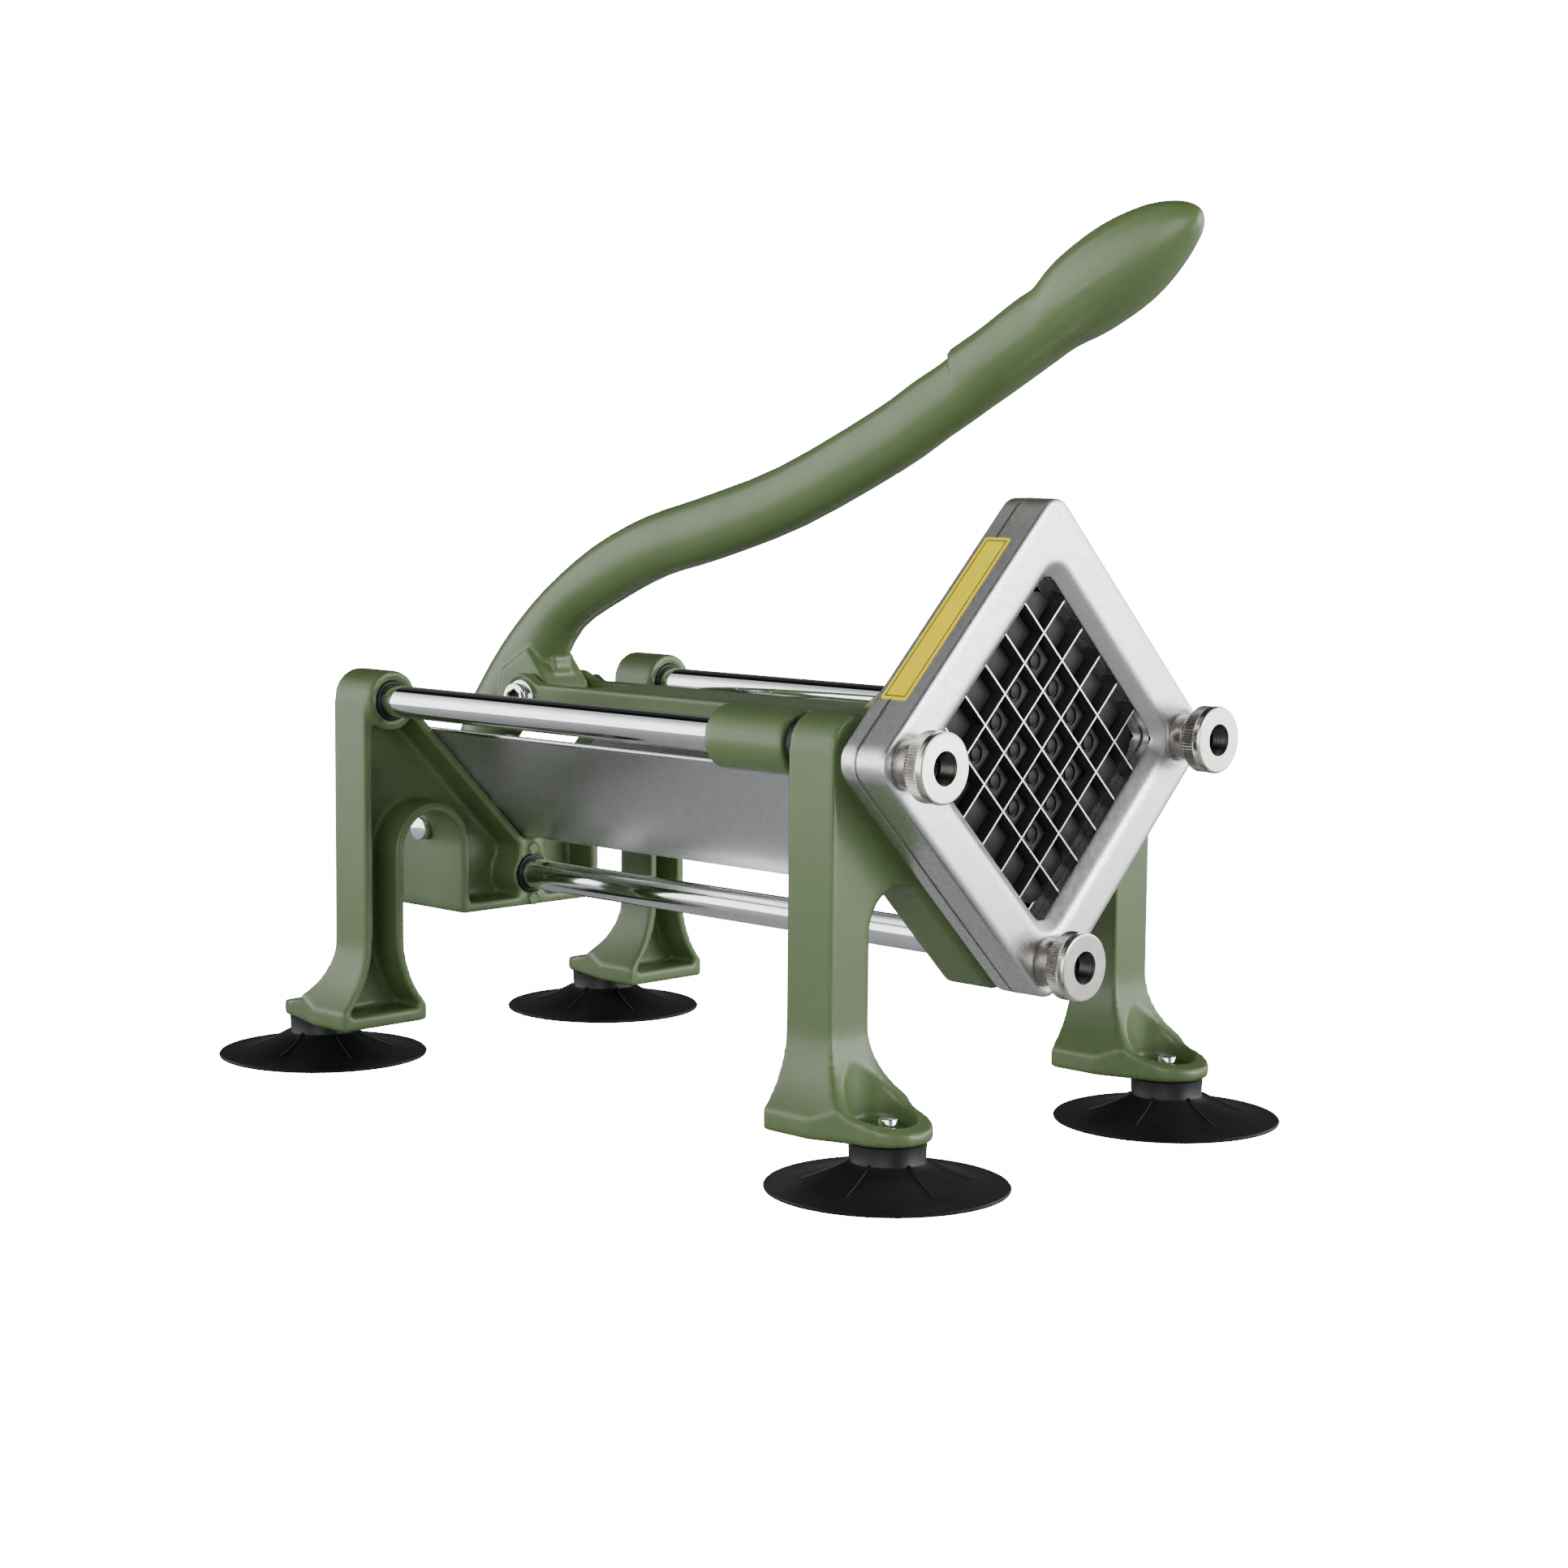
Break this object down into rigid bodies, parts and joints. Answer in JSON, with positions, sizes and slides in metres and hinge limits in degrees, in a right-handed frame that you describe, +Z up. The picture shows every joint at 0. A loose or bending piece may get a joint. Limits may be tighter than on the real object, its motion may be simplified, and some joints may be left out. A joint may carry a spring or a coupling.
{
  "type": "french fry cutter",
  "caption": "Horizontal lever press that pushes a potato along a trough through a square blade grid; cast frame on suction cups, slide rods, long curved handle.",
  "frame": {"origin": "on the counter plane, under the middle of the whole part, which reaches from the tip of the handle to the rims of the rear cups", "axes": "+Y from the blade end back to the link end, +Z up, X across with +X on the right for someone who looks along +Y"},
  "size_m": [0.2096, 0.3688, 0.291],
  "materials": {
    "enamel_green": "glossy army-green baked enamel on a casting",
    "chrome_steel": "polished plated steel",
    "nickel": "bright nickel plate",
    "cast_aluminium": "satin cast and ground",
    "stainless": "brushed sheet",
    "black_rubber": "smooth black rubber",
    "black_plastic": "moulded black plastic",
    "bronze": "sintered bearing metal"
  },
  "bodies": {
    "press": {"front_frame": "enamel_green", "rear_frame": "enamel_green", "upper_rod_left": "chrome_steel", "upper_rod_right": "chrome_steel", "lower_rod": "chrome_steel", "rod_end_screws": "chrome_steel", "front_buffers": "black_rubber", "rear_buffers": "black_rubber", "potato_trough": "stainless", "cassette_front": "cast_aluminium", "cassette_back": "cast_aluminium", "cassette_screws": "chrome_steel", "blades_down_right": "stainless", "blades_down_left": "stainless", "mounting_studs": "chrome_steel", "link_pivot_bolts": "chrome_steel", "link_spacers": "chrome_steel", "stop_bolt": "chrome_steel", "cup_front_left": "black_rubber", "cup_front_right": "black_rubber", "cup_rear_left": "black_rubber", "cup_rear_right": "black_rubber", "cup_studs": "chrome_steel"},
    "carriage": {"carriage": "enamel_green", "slide_bushes": "bronze", "pusher_block": "black_plastic", "pusher_screws": "chrome_steel", "handle_pivot_bolt": "chrome_steel", "handle_pivot_nut": "chrome_steel", "handle_pivot_washers": "chrome_steel"},
    "handle": {"handle": "enamel_green"},
    "links": {"swing_links": "chrome_steel", "pull_pin": "chrome_steel"},
    "left_nut": {"thumb_nut_left": "nickel"},
    "right_nut": {"thumb_nut_right": "nickel"},
    "bottom_nut": {"thumb_nut_bottom": "nickel"}
  },
  "joints": [
    {"name": "carriage_slide", "type": "slide", "parent": "press", "child": "carriage", "axis": [0, 1, 0], "range_m": [0, 0.15]},
    {"name": "handle_hinge", "type": "hinge", "parent": "carriage", "child": "handle", "pos_m": [0, 0.09992, 0.128], "axis": [-1, 0, 0], "range_deg": [0, 67.5]},
    {"name": "link_hinge", "type": "hinge", "parent": "press", "child": "links", "pos_m": [0, 0.16842, 0.084], "axis": [1, 0, 0], "range_deg": [0, 97.5]},
    {"name": "left_nut_turn", "type": "hinge", "parent": "press", "child": "left_nut", "pos_m": [-0.066, -0.13958, 0.1265], "axis": [0, -1, 0], "continuous": true},
    {"name": "right_nut_turn", "type": "hinge", "parent": "press", "child": "right_nut", "pos_m": [0.066, -0.13958, 0.1265], "axis": [0, -1, 0], "continuous": true},
    {"name": "bottom_nut_turn", "type": "hinge", "parent": "press", "child": "bottom_nut", "pos_m": [0, -0.13958, 0.0605], "axis": [0, -1, 0], "continuous": true}
  ],
  "couplings": [
    {"joint": "handle_hinge", "follows": "carriage_slide", "rad_per_m": 7.802},
    {"joint": "link_hinge", "follows": "carriage_slide", "rad_per_m": 11.32}
  ]
}
